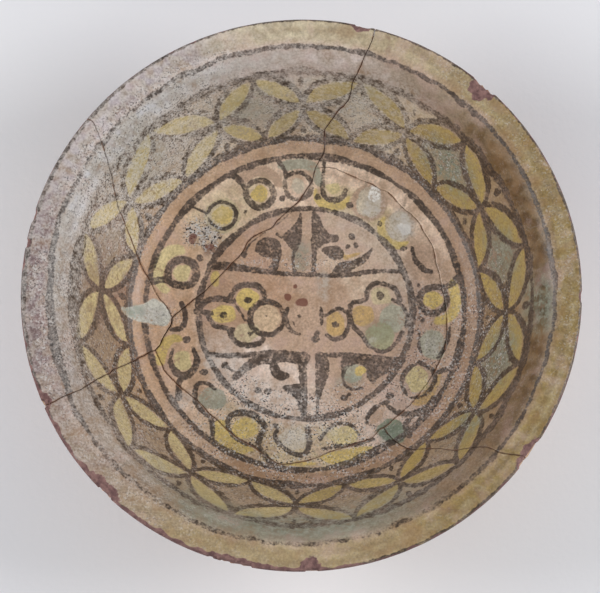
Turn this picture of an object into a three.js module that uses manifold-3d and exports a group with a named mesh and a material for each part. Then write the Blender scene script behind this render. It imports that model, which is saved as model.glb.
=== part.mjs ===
// A slip-painted earthenware bowl that broke and was put together again from its sherds.
// Millimetres, +Z up. The origin is the middle of the base, on the surface that the bowl stands on.
import * as THREE from "three";
import { mergeVertices } from "three/addons/utils/BufferGeometryUtils.js";
import Module from "manifold-3d";

const wasm = await Module();
wasm.setup();

// Driving dimensions.
const RIM_RADIUS = 130;
const BOWL_HEIGHT = 72;
const BASE_RADIUS = 77;
const ROUND_STEPS = 72; // facets round the bowl
const CRACK_WIDTH = 0.3; // the joint between two sherds

// The lip is the flat turned-out band at the top: an inner and an outer edge, and the wall's start below it.
const LIP_INNER_RADIUS = 117;
const LIP_INNER_HEIGHT = 69;
const WALL_TOP_RADIUS = 109;
const WALL_TOP_HEIGHT = 58.8;
const WALL_FOOT_RADIUS = 88;
const WALL_FOOT_HEIGHT = 19;
const FLOOR_HEIGHT = 9.6; // top of the clay in the middle of the floor

// Section of the thrown bowl, from the middle of the base round the rim to the middle of the floor.
const section = [
  [0, 0],
  [BASE_RADIUS, 0],
  [BASE_RADIUS + 2.5, 1.2],
  [BASE_RADIUS + 6, 4.2],
  [WALL_FOOT_RADIUS + 2.5, 10],
  [WALL_FOOT_RADIUS + 8.5, 19.5],
  [WALL_FOOT_RADIUS + 14, 30],
  [WALL_TOP_RADIUS + 6.5, 55.8],
  [LIP_INNER_RADIUS + 2.5, 62],
  [LIP_INNER_RADIUS + 6, 65.4],
  [RIM_RADIUS - 2, 68],
  [RIM_RADIUS - 0.4, 69],
  [RIM_RADIUS, 70.3],
  [RIM_RADIUS - 0.5, 71.4],
  [RIM_RADIUS - 1.8, BOWL_HEIGHT],
  [LIP_INNER_RADIUS + 5, 70.5],
  [LIP_INNER_RADIUS, LIP_INNER_HEIGHT],
  [LIP_INNER_RADIUS - 4, 64.8],
  [WALL_TOP_RADIUS, WALL_TOP_HEIGHT],
  [WALL_FOOT_RADIUS + 10, 37.5],
  [WALL_FOOT_RADIUS, WALL_FOOT_HEIGHT],
  [84.5, 15.4],
  [79, 12.6],
  [70, 10.8],
  [45, 9.9],
  [0, FLOOR_HEIGHT],
];

// Cracks, as seen from above, each from its outer end to its inner one.
const crackMeeting = [-65, -2.5]; // where the left cracks and the one across the floor meet
const topCrackOnFloor = [5.5, 72];
const leftCrackOnFloor = [-73, -19];
const rightCrackEnd = [38.5, -57.5];

const cracks = [
  // top: from the rim down the wall, then across the floor to the left
  [
    [37.5, 130],
    [32.5, 116],
    [27, 106],
    [23.5, 99],
    [18.5, 95],
    [12, 90],
    [10.5, 86],
    [9.5, 80],
    topCrackOnFloor,
    [2.5, 64],
    [-3.5, 55],
    [-9, 49.5],
    [-16, 42.5],
    [-25, 38],
    [-30.5, 30],
    [-41, 19],
    [-53, 8],
    crackMeeting,
  ],
  // left: from the rim down to the floor
  [[-124, -56.5], [-106.5, -48], [-98, -40], [-90, -31], [-84, -25.5], leftCrackOnFloor, [-69.5, -12.5], crackMeeting],
  // upper left hairline
  [[-104.5, 88], [-92.5, 67.5], [-90, 53], [-87, 42], [-82, 27.5], [-76, 15], [-68.5, 3.5], crackMeeting],
  // right-hand arc round the floor
  [
    topCrackOnFloor,
    [13.5, 72],
    [24.5, 67.5],
    [37, 61.5],
    [44.5, 56.5],
    [54, 47.5],
    [62.5, 33],
    [66.5, 18],
    [70, 0],
    [69.5, -12],
    [65.5, -26],
    [57, -40],
    [49, -49],
    rightCrackEnd,
  ],
  // lower arc round the floor
  [
    leftCrackOnFloor,
    [-67, -31],
    [-53, -43],
    [-44, -52],
    [-34.5, -61],
    [-24.5, -67],
    [-12, -75],
    [-0.5, -73.5],
    [12, -69.5],
    [25, -65],
    [32, -62.5],
    rightCrackEnd,
  ],
  // right: from the rim to the end of both arcs
  [[110, -82], [102, -78], [92, -76], [84.5, -72.5], [76, -72], [64, -70], [50, -68], [41.5, -61], rightCrackEnd],
];

// Chips out of the rim: where round the rim they are in degrees, half their length along it,
// how far in from the edge they reach and how deep they go.
const chips = [
  { angle: 47.5, halfLength: 8.5, inward: 4.2, depth: 2.2 },
  { angle: 69.5, halfLength: 5.5, inward: 3.0, depth: 1.4 },
  { angle: 78, halfLength: 5.0, inward: 2.4, depth: 1.2 },
  { angle: 164, halfLength: 6.0, inward: 2.2, depth: 1.1 },
  { angle: -156, halfLength: 5.5, inward: 4.5, depth: 2.0 },
  { angle: -137.5, halfLength: 9.5, inward: 3.4, depth: 1.6 },
  { angle: -106.5, halfLength: 10, inward: 3.2, depth: 1.5 },
  { angle: -84.5, halfLength: 4.5, inward: 3.6, depth: 1.8 },
  { angle: -36.5, halfLength: 10, inward: 3.8, depth: 2.4 },
];

// Each sherd and a place that lies near its middle, as seen from above.
const sherds = [
  { name: "upper_left_rim_sherd", near: [-33, 100], colour: 0xb09a90 },
  { name: "left_rim_sherd", near: [-105, 15], colour: 0xb3a49d },
  { name: "lower_rim_sherd", near: [-20, -98], colour: 0xab9071 },
  { name: "right_rim_sherd", near: [92, 32], colour: 0xa58c66 },
  { name: "floor_sherd", near: [5, 0], colour: 0xc39e87 },
];

function solidOf(geometry) {
  geometry.deleteAttribute("normal");
  geometry.deleteAttribute("uv");
  const merged = mergeVertices(geometry, 1e-4);
  const vertProperties = merged.attributes.position.array;
  const triVerts = new Uint32Array(merged.index.array);
  return new wasm.Manifold(new wasm.Mesh({ numProp: 3, vertProperties, triVerts }));
}

function geometryOf(solid) {
  const { vertProperties, triVerts } = solid.getMesh();
  const geometry = new THREE.BufferGeometry();
  geometry.setAttribute("position", new THREE.BufferAttribute(new Float32Array(vertProperties), 3));
  geometry.setIndex(new THREE.BufferAttribute(new Uint32Array(triVerts), 1));
  geometry.computeVertexNormals();
  return geometry;
}

function thrownBowl() {
  const profile = section.map(([r, z]) => new THREE.Vector2(r, z));
  return solidOf(new THREE.LatheGeometry(profile, ROUND_STEPS).rotateX(Math.PI / 2));
}

// A thin upright blade along a crack. It runs on by a little past both ends, so that cracks that meet join up.
function crackBlade(route) {
  const points = route.map(([x, y]) => new THREE.Vector2(x, y));
  const last = points.length - 1;
  const along = (i) => points[i + 1].clone().sub(points[i]).normalize();
  const left = [];
  const right = [];
  points.forEach((point, i) => {
    const before = along(Math.max(i - 1, 0));
    const after = along(Math.min(i, last - 1));
    const bisector = before.clone().add(after).normalize();
    const reach = CRACK_WIDTH / 2 / bisector.dot(after);
    const side = new THREE.Vector2(-bisector.y, bisector.x).multiplyScalar(reach);
    const runOn = i === 0 ? -CRACK_WIDTH : i === last ? CRACK_WIDTH : 0;
    const end = point.clone().addScaledVector(bisector, runOn);
    left.push(end.clone().add(side));
    right.push(end.clone().sub(side));
  });
  const shape = new THREE.Shape([...right, ...left.reverse()]);
  const depth = BOWL_HEIGHT + 10;
  return solidOf(new THREE.ExtrudeGeometry(shape, { depth, bevelEnabled: false }).translate(0, 0, -5));
}

// A chip is a shallow scoop out of the upper edge of the rim.
function rimScoop({ angle, halfLength, inward, depth }) {
  const turn = THREE.MathUtils.degToRad(angle);
  const scoop = new THREE.IcosahedronGeometry(1, 1).rotateX(0.4).rotateZ(0.7);
  scoop.scale(inward * 1.2, halfLength * 1.05, depth * 1.6);
  scoop.rotateY(0.5); // the scoop leans out over the edge
  scoop.translate(RIM_RADIUS + 0.4, 0, BOWL_HEIGHT + depth * 0.3);
  return solidOf(scoop.rotateZ(turn));
}

function middleOf(solid) {
  const { min, max } = solid.boundingBox();
  return [(min[0] + max[0]) / 2, (min[1] + max[1]) / 2];
}

let clay = thrownBowl();
for (const route of cracks) clay = clay.subtract(crackBlade(route));
for (const chip of chips) clay = clay.subtract(rimScoop(chip));
const pieces = clay.decompose();

const bowl = new THREE.Group();
for (const { name, near, colour } of sherds) {
  const away = (solid) => Math.hypot(middleOf(solid)[0] - near[0], middleOf(solid)[1] - near[1]);
  const piece = pieces.reduce((best, solid) => (away(solid) < away(best) ? solid : best));
  const material = new THREE.MeshStandardMaterial({ color: colour, roughness: 0.55, metalness: 0 });
  const mesh = new THREE.Mesh(geometryOf(piece), material);
  mesh.name = name;
  bowl.add(mesh);
}

export default bowl;
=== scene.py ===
"""A mended, slip-painted earthenware bowl: the looks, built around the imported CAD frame.

Every sherd is a fine mesh of its own that stands for its CAD node. Up to the materials, lengths are
millimetres in the bowl's own frame. They become metres when a mesh is made. Paint is worked out as
distances to painted shapes, which the mesh carries as attributes and the materials turn into glaze
colours. Every ripple and every crack draws its random numbers from a seed of its own.
"""
import math
from typing import NamedTuple

import bpy
import numpy as np
from mathutils import Matrix, Vector
from mathutils.geometry import delaunay_2d_cdt


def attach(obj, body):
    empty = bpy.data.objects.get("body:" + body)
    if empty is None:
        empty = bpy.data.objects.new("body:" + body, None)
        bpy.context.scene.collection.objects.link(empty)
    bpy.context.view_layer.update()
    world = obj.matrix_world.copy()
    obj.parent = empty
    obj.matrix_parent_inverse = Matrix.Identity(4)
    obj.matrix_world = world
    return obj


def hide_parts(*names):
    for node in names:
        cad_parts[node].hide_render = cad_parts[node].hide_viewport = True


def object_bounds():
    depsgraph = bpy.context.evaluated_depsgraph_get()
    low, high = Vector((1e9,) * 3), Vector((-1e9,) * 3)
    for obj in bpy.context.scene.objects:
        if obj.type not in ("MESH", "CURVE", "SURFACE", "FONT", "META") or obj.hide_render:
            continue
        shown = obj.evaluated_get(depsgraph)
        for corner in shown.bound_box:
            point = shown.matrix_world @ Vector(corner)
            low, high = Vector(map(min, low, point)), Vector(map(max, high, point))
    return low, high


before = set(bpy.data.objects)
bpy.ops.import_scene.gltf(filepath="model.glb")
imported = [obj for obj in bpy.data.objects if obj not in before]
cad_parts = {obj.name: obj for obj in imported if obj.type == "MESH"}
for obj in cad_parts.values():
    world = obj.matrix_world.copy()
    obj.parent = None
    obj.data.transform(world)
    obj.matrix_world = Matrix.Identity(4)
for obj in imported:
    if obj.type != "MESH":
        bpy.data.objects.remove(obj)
cad_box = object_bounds()

MM = 0.001
RIM_RADIUS = 130.0
FAR = 99.0  # a distance that stands for "nowhere near"

# Fineness of the meshes.
INSIDE_STEP = 0.72
OUTSIDE_STEP = 1.6
CRACK_STEP = 0.55

RIM_GAP = 0.12  # half the gap where a crack meets the rim
FLAKE_DEPTH = 0.45  # how deep the glaze has flaked off beside the cracks
RUBBED_DEPTH = 0.2  # how deep the lip's edge is rubbed down

# Section of the bowl from the middle out to the rim's edge, as radius and height.
INSIDE = [
    (0, 9.6), (25, 9.7), (45, 9.9), (60, 10.3), (70, 10.9), (79, 12.7), (84.5, 15.4), (88, 19), (98, 37.5),
    (109, 58.8), (113, 64.8), (117, 69), (122, 70.5), (128.2, 72), (129.5, 71.4), (130, 70.3),
]
OUTSIDE = [
    (0, 0), (40, 0), (76, 0), (79.5, 1.2), (83, 4.2), (90.5, 10), (96.5, 19.5), (102, 30), (115.5, 55.8),
    (119.5, 62), (123, 65.4), (128, 68), (129.6, 69), (130, 70.3),
]


# ---------------------------------------------------------------- curves and noise


def spline(p, per_span):
    """Catmull-Rom points over the inner spans of p."""
    t = np.linspace(0, 1, per_span, endpoint=False)[:, None]
    spans = []
    for a, b, c, d in zip(p, p[1:], p[2:], p[3:]):
        squared = (2 * a - 5 * b + 4 * c - d) * t**2
        cubed = (3 * b - a - 3 * c + d) * t**3
        spans.append(0.5 * (2 * b + (c - a) * t + squared + cubed))
    return np.vstack(spans)


def smooth_curve(points, per_span=8):
    """A smooth open curve through the points."""
    p = np.array(points, float)
    with_ends = np.vstack([2 * p[0] - p[1], p, 2 * p[-1] - p[-2]])
    return np.vstack([spline(with_ends, per_span), p[-1:]])


def smooth_loop(points, per_span=5):
    """A smooth closed curve through the points."""
    p = np.array(points, float)
    return spline(np.vstack([p[-1:], p, p[:2]]), per_span)


def walked(line, step):
    """The line again, with points a step apart."""
    line = np.asarray(line, float)
    run = np.concatenate([[0], np.cumsum(np.hypot(*np.diff(line, axis=0).T))])
    at = np.linspace(0, run[-1], max(2, round(run[-1] / step) + 1))
    return np.stack([np.interp(at, run, line[:, k]) for k in range(2)], 1)


class Profile:
    """One face of the section: height against radius, and the length along it."""

    def __init__(self, points):
        curve = smooth_curve(points)
        curve[:, 0] = np.maximum.accumulate(curve[:, 0])
        self.r, self.z = curve.T
        self.run = np.concatenate([[0], np.cumsum(np.hypot(*np.diff(curve, axis=0).T))])

    def height(self, r):
        return np.interp(r, self.r, self.z)

    def along(self, r):
        return np.interp(r, self.r, self.run)

    def radius(self, run):
        return np.interp(run, self.run, self.r)


inside = Profile(INSIDE)
outside = Profile(OUTSIDE)


RIPPLE_WAVES = 9


def ripple(x, y, wave, seed):
    """Smooth noise from -1 to 1 with bumps about as wide as wave, the same on every run."""
    draws = np.random.default_rng(seed)
    total = np.zeros_like(x)
    for _ in range(RIPPLE_WAVES):
        turn, phase = draws.uniform(0, math.tau, 2)
        pull = draws.uniform(0.6, 1.6) * math.pi / wave
        total += np.sin(pull * (x * math.cos(turn) + y * math.sin(turn)) + phase)
    return total / (RIPPLE_WAVES / 2)


def step_between(low, high, value):
    """0 below low and 1 above high, or the other way round where low is above high."""
    t = np.clip((value - low) / (high - low), 0, 1)
    return t * t * (3 - 2 * t)


def at_angle(degrees, r=RIM_RADIUS):
    return r * math.cos(math.radians(degrees)), r * math.sin(math.radians(degrees))


def turned_from(angle, middle):
    """How far an angle lies from the middle one, in degrees, either way round."""
    return np.abs((angle - middle + 180) % 360 - 180)


# ---------------------------------------------------------------- cracks

# Where the cracks leave the rim, in degrees, and where they meet.
TOP_ON_RIM = 74.1
UPPER_LEFT_ON_RIM = 140.9
LEFT_ON_RIM = 204.5
RIGHT_ON_RIM = -37.3
MEETING = (-65, -2.5)
TOP_ON_FLOOR = (5.5, 72)
LEFT_ON_FLOOR = (-73, -19)
RIGHT_END = (38.5, -57.5)


class Crack(NamedTuple):
    """Its route as seen from above, its width, how far it strays from that, and how worn its edges are."""

    route: list
    width: float
    stray: float
    worn: float


CRACKS = {
    "top_wall": Crack(
        [at_angle(TOP_ON_RIM), (34.5, 121), (32.5, 116), (30, 111.5), (27, 106), (25, 103), (23.5, 99),
         (21, 96.5), (18.5, 95), (12, 90), (10.5, 88.5), (10.5, 85.5), (9.5, 80), (7.5, 76.5),
         TOP_ON_FLOOR],
        0.34, 0.5, 1.0,
    ),
    "top_floor": Crack(
        [TOP_ON_FLOOR, (4.5, 68.5), (2.5, 64), (0, 60.5), (-3.5, 55), (-9, 49.5), (-13.5, 45.5),
         (-16, 42.5), (-21, 40.5), (-25, 38), (-28.5, 34.5), (-30.5, 30), (-41, 19), (-53, 8), MEETING],
        0.26, 0.5, 1.0,
    ),
    "left_wall": Crack(
        [at_angle(LEFT_ON_RIM), (-113.5, -51.5), (-106.5, -48), (-102, -45), (-98, -40), (-92.5, -34.5),
         (-90, -31), (-84, -25.5), (-76, -20.5), LEFT_ON_FLOOR],
        0.28, 0.45, 0.9,
    ),
    "left_floor": Crack([LEFT_ON_FLOOR, (-71, -16), (-69.5, -12.5), (-66, -6.5), MEETING], 0.46, 0.35, 1.3),
    "upper_left": Crack(
        [at_angle(UPPER_LEFT_ON_RIM), (-98, 80.5), (-95, 74.5), (-92.5, 67.5), (-91, 59), (-90, 53),
         (-88.5, 46), (-87, 42), (-82, 27.5), (-80, 22), (-76, 15), (-72.5, 8), (-68.5, 3.5), MEETING],
        0.1, 0.4, 0.5,
    ),
    "right_arc": Crack(
        [TOP_ON_FLOOR, (13.5, 72), (18.5, 70), (24.5, 67.5), (33, 64), (37, 61.5), (41, 60), (44.5, 56.5),
         (50, 51), (54, 47.5), (57, 43.5), (62.5, 33), (64.5, 26), (66.5, 18), (70, 0), (69.5, -12),
         (65.5, -26), (57, -40), (49, -49), RIGHT_END],
        0.08, 0.4, 0.3,
    ),
    "lower_arc": Crack(
        [LEFT_ON_FLOOR, (-67, -31), (-53, -43), (-48, -48.5), (-44, -52), (-34.5, -61), (-24.5, -67),
         (-12, -75), (-0.5, -73.5), (7, -71.5), (12, -69.5), (25, -65), (32, -62.5), (36, -58.5),
         RIGHT_END],
        0.08, 0.4, 0.6,
    ),
    "right_wall": Crack(
        [at_angle(RIGHT_ON_RIM), (99.5, -77.5), (92, -76), (88, -74), (84.5, -72.5), (76, -72), (70.5, -72),
         (64, -70), (57, -69), (50, -68), (44.5, -64.5), (41.5, -61), RIGHT_END],
        0.2, 0.45, 0.8,
    ),
}


# How a break strays sideways: the length of each kind of jag in mm, and its share.
JAGS = ((14, 1.0), (6, 0.6), (2.6, 0.35), (1.3, 0.22))


def torn(crack, seed):
    """The route as clay breaks: jagged in between, and exactly on the route at both ends."""
    line = walked(smooth_curve(crack.route, 6), CRACK_STEP)
    run = np.arange(len(line)) * CRACK_STEP
    ahead = np.gradient(line, axis=0)
    ahead /= np.hypot(*ahead.T)[:, None]
    draws = np.random.default_rng(seed)
    sideways = np.zeros(len(line))
    for wave, share in JAGS:
        knots = draws.uniform(-1, 1, int(run[-1] / wave) + 3)
        sideways += share * np.interp(run / wave, np.arange(len(knots)), knots)
    held = step_between(0, 4, run) * step_between(0, 4, run[-1] - run)
    return line + (sideways * held * crack.stray)[:, None] * np.stack([-ahead[:, 1], ahead[:, 0]], 1)


crack_lines = {name: torn(crack, seed) for seed, (name, crack) in enumerate(CRACKS.items())}

# Every sherd's outline, anticlockwise from above: cracks, with a minus where it is followed from its
# inner end, and the stretch of rim in degrees.
SHERDS = {
    "upper_left_rim_sherd": ["-top_floor", "-top_wall", (TOP_ON_RIM, UPPER_LEFT_ON_RIM), "upper_left"],
    "left_rim_sherd": ["-upper_left", (UPPER_LEFT_ON_RIM, LEFT_ON_RIM), "left_wall", "left_floor"],
    "lower_rim_sherd": ["-left_wall", (LEFT_ON_RIM, RIGHT_ON_RIM + 360), "right_wall", "-lower_arc"],
    "right_rim_sherd": ["-right_wall", (RIGHT_ON_RIM, TOP_ON_RIM), "top_wall", "right_arc"],
    "floor_sherd": ["lower_arc", "-right_arc", "top_floor", "-left_floor"],
}


def outline_of(parts):
    """The outline, set back by half of each crack's width, and which of its points lie on the rim."""
    points, back, on_rim = [], [], []
    for part in parts:
        if isinstance(part, tuple):
            steps = round(math.radians(part[1] - part[0]) * RIM_RADIUS / CRACK_STEP)
            turns = np.radians(np.linspace(*part, steps))
            line = RIM_RADIUS * np.stack([np.cos(turns), np.sin(turns)], 1)
            half = 0.0
        else:
            name = part.lstrip("-")
            line = crack_lines[name][::-1] if part.startswith("-") else crack_lines[name]
            half = CRACKS[name].width / 2
        points.append(line[:-1])
        back += [half] * (len(line) - 1)
        on_rim += [half == 0.0] * (len(line) - 1)
    points, back, on_rim = np.vstack(points), np.array(back), np.array(on_rim)
    # Each point goes back along the mean of the lines' normals before and after it.
    before = points - np.roll(points, 2, axis=0)
    after = np.roll(points, -2, axis=0) - points
    normals = []
    for way in (before, after):
        way = way / np.hypot(*way.T)[:, None]
        normals.append(np.stack([-way[:, 1], way[:, 0]], 1))
    lean = 1 + np.sum(normals[0] * normals[1], 1)
    inward = (normals[0] + normals[1]) / np.maximum(lean, 0.35)[:, None]
    first_on_rim = on_rim & ~np.roll(on_rim, 1)
    last_off_rim = ~on_rim & np.roll(on_rim, 1)  # this one is where the next crack leaves the rim
    ends = first_on_rim | last_off_rim
    back[ends] = RIM_GAP
    points = points + back[:, None] * inward
    on_rim |= last_off_rim
    points[on_rim] *= (RIM_RADIUS / np.hypot(*points[on_rim].T))[:, None]
    return points, on_rim


# ---------------------------------------------------------------- meshes


def unrolled(x, y):
    """Seen from above, pushed out so that lengths along the inside of the wall come out true."""
    r = np.hypot(x, y)
    stretch = inside.along(r) / np.maximum(r, 1e-6)
    return x * stretch, y * stretch


def rolled_up(u, v):
    """The way back from unrolled."""
    run = np.hypot(u, v)
    shrink = inside.radius(run) / np.maximum(run, 1e-6)
    return u * shrink, v * shrink


def lattice(outline, step):
    """Points in rows of triangles over the outline's box, apart from those on top of its line."""
    low, high = outline.min(0), outline.max(0)
    row = step * math.sqrt(0.75)
    rows = int((high[1] - low[1]) / row) + 2
    columns = int((high[0] - low[0]) / step) + 2
    u = low[0] + step * (np.arange(columns)[None, :] + 0.5 * (np.arange(rows)[:, None] % 2))
    v = low[1] + row * np.arange(rows)[:, None] + 0 * u
    free = np.ones((rows, columns), bool)
    line = walked(np.vstack([outline, outline[:1]]), CRACK_STEP / 2)
    clear = 0.55 * min(step, 1.2)
    for shift in (-1, 0, 1):
        j = np.round((line[:, 1] - low[1]) / row).astype(int) + shift
        j = np.clip(j, 0, rows - 1)
        i = np.round((line[:, 0] - low[0]) / step - 0.5 * (j % 2)).astype(int)
        for side in (-1, 0, 1):
            k = np.clip(i + side, 0, columns - 1)
            close = np.hypot(u[j, k] - line[:, 0], v[j, k] - line[:, 1]) < clear
            free[j[close], k[close]] = False
    return np.stack([u[free], v[free]], 1)


def triangulated(outline, step):
    """Triangles inside the outline. The outline's own points come first, in order."""
    points = np.vstack([outline, lattice(outline, step)])
    border = [list(range(len(outline)))]
    as_vectors = [Vector(p) for p in points.tolist()]
    found, _, faces, origin, _, owners = delaunay_2d_cdt(as_vectors, [], border, 1, 1e-6, True)
    faces = np.array([face for face, owner in zip(faces, owners) if owner])
    used = np.unique(faces)
    rank = np.array([min(origin[i]) if origin[i] else len(points) + i for i in used])
    used = used[np.argsort(rank)]
    place = np.full(len(found), -1)
    place[used] = np.arange(len(used))
    return np.array([tuple(found[i]) for i in used]), place[faces]


# The chips in the rim: angle in degrees, half the length, how far in it reaches and how deep it goes.
CHIPS = [
    (48.1, 7.4, 9.6, 1.6), (77, 5.4, 4.6, 1.0), (164, 5, 2.4, 1.0), (170, 3, 3.4, 0.8),
    (204, 5.5, 5.5, 1.8), (225.7, 12, 6.4, 1.2), (256.5, 22, 4.2, 1.2), (272.1, 5.5, 8.0, 1.3),
    (323.5, 10, 5.0, 2.0), (-2, 3, 2.2, 0.8),
]


def chipped(x, y):
    """How far inside a chip each point is, 1 in its middle and below 0 outside, and the chip's depth."""
    r = np.hypot(x, y)
    turn = np.degrees(np.arctan2(y, x))
    ragged = 0.13 * ripple(x, y, 2.6, 41) + 0.07 * ripple(x, y, 1.1, 42)
    deepest, depth = np.full_like(x, -FAR), np.zeros_like(x)
    for angle, half_length, reach, down in CHIPS:
        along = np.radians(turned_from(turn, angle)) * RIM_RADIUS / half_length
        across = (RIM_RADIUS + 0.5 - r) / reach
        inner = 1 - np.hypot(along, across) + ragged
        depth = np.where(inner > deepest, down, depth)
        deepest = np.maximum(deepest, inner)
    # All along its edge the lip is rubbed down to the clay, most of all at the lower left.
    rubbed = 0.5 + 2.0 * step_between(62, 20, turned_from(turn, 238)) + 0.9 * ripple(x, y, 6, 44)
    inner = (r - RIM_RADIUS + rubbed) / 4 + 0.4 * ragged
    depth = np.where(inner > deepest, RUBBED_DEPTH, depth)
    return np.maximum(deepest, inner), depth


def waves(x, y):
    """The hand-thrown bowl's slow unevenness, with the faint spiral that the potter's fingers leave."""
    r = np.hypot(x, y)
    turning = 0.10 * np.sin(inside.along(r) * math.tau / 7.5 + 0.6 * np.sin(np.arctan2(y, x)))
    return 0.35 * ripple(x, y, 60, 11) + 0.12 * ripple(x, y, 18, 12) + turning * step_between(20, 50, r)


def inside_points(x, y):
    """The inside's points and their damage: distance to a crack, how far inside a chip, and flaking."""
    gap = distance_to_cracks(x, y)
    chip, chip_depth = chipped(x, y)
    flake = edge_flakes(x, y, gap)
    r = np.hypot(x, y)
    z = inside.height(r) + waves(x, y) * step_between(0, 3, RIM_RADIUS - r)
    bitten = step_between(0.0, 0.55, chip)
    z -= chip_depth * bitten * (0.75 + 0.2 * ripple(x, y, 1.6, 43))
    z -= FLAKE_DEPTH * flake
    # A chip also takes the edge of the rim back a little.
    inwards = bitten * np.clip(chip_depth * 0.55, 0, 1.3) * step_between(4, 0, RIM_RADIUS - r)
    pull = 1 - inwards / RIM_RADIUS
    return np.stack([x * pull, y * pull, z], 1), (gap, chip, flake)


def outside_points(x, y):
    """The outside's points, flat where the bowl stands and a little uneven above."""
    r = np.hypot(x, y)
    z = np.maximum(outside.height(r), 0)
    z += 0.25 * ripple(x, y, 30, 21) * step_between(84, 95, r) * step_between(0, 6, RIM_RADIUS - r)
    return np.stack([x, y, z], 1)


def sherd_mesh(name, parts):
    """The sherd's mesh, the x and y of its inside points, and their damage."""
    plan, on_rim = outline_of(parts)
    outline = np.stack(unrolled(*plan.T), 1)
    edge = len(outline)
    top_flat, top_faces = triangulated(outline, INSIDE_STEP)
    low_flat, low_faces = triangulated(outline, OUTSIDE_STEP)
    x, y = rolled_up(*top_flat.T)
    top, damage = inside_points(x, y)
    low = outside_points(*rolled_up(*low_flat.T))

    # Both faces share the rim's points. Elsewhere a broken edge joins them, with points halfway down it.
    low_index = np.where(np.arange(len(low)) < edge, 0, len(top) + np.arange(len(low)) - edge)
    rim = np.nonzero(on_rim)[0]
    broken = np.nonzero(~on_rim)[0]
    low_index[rim] = rim
    extra = len(top) + len(low) - edge
    low_index[broken] = extra + np.arange(len(broken))
    middle_index = np.arange(edge)
    middle_index[broken] = extra + len(broken) + np.arange(len(broken))
    middle = 0.5 * (top[broken] + low[broken])
    points = np.vstack([top, low[edge:], low[broken], middle])

    wall = []
    for i in range(edge):
        j = (i + 1) % edge
        for upper, lower in ((np.arange(edge), middle_index), (middle_index, low_index)):
            ring = list(dict.fromkeys(int(k) for k in (upper[i], lower[i], lower[j], upper[j])))
            if len(ring) > 2:
                wall.append(ring)
    under = low_index[low_faces][:, ::-1]
    faces = top_faces.tolist() + under.tolist() + wall
    kinds = np.repeat([0, 1, 2], [len(top_faces), len(under), len(wall)])
    mesh = bpy.data.meshes.new(name)
    mesh.from_pydata((points * MM).tolist(), [], faces)
    mesh.polygons.foreach_set("material_index", kinds)
    mesh.polygons.foreach_set("use_smooth", kinds < 2)
    mesh.update()
    return mesh, x, y, damage


NEAR_CRACK = 6  # how far from a crack its distance is worked out
POINTS_AT_ONCE = 24  # how many of a crack's points are compared at once, to keep the tables small


def distance_to_cracks(x, y):
    """Distance from each point to the nearest crack, made longer where that crack is little worn."""
    nearest = np.full_like(x, FAR)
    for name, line in crack_lines.items():
        low, high = line.min(0) - NEAR_CRACK, line.max(0) + NEAR_CRACK
        near = np.nonzero((x > low[0]) & (x < high[0]) & (y > low[1]) & (y < high[1]))[0]
        for first in range(0, len(line), POINTS_AT_ONCE):
            bit = line[first : first + POINTS_AT_ONCE]
            low, high = bit.min(0) - NEAR_CRACK, bit.max(0) + NEAR_CRACK
            some = near[(x[near] > low[0]) & (x[near] < high[0]) & (y[near] > low[1]) & (y[near] < high[1])]
            away = np.hypot(x[some, None] - bit[:, 0], y[some, None] - bit[:, 1]).min(1)
            nearest[some] = np.minimum(nearest[some], away / CRACKS[name].worn)
    return nearest


def edge_flakes(x, y, gap):
    """How far the glaze has flaked off beside a crack, from 0 to 1."""
    width = 0.1 + 0.45 * np.clip(ripple(x, y, 7, 31) + 0.5 * ripple(x, y, 2.2, 32), 0, 2)
    return step_between(width, width * 0.45, gap)


# ---------------------------------------------------------------- paint

# Colours as seen on screen, 0 to 255.
YELLOW = (208, 182, 110)
ORANGE = (194, 160, 106)
# Leaf yellows: darker in painted shade towards the right of the bowl, lighter towards the left.
LEAF_IN_PAINTED_SHADE = (172, 147, 84)
LEAF_IN_PAINTED_LIGHT = (200, 182, 134)
CREAM = (200, 182, 146)
BUFF = (190, 160, 136)
PINK_BUFF = (204, 176, 144)
OLIVE = (162, 158, 124)
PALE_YELLOW = (210, 192, 142)
TEAL = (126, 136, 114)
PALE_TEAL = (170, 166, 146)
GREY_WHITE = (206, 192, 170)
# The white of the painted highlights.
PAINTED_HIGHLIGHT = (246, 242, 234)
DRIP = (196, 194, 182)

REACH = 3.0  # how far past a shape its distance is worked out
SOFT_EDGE = 3.0  # how far the edge of a stretch of ring fades, either way


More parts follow.
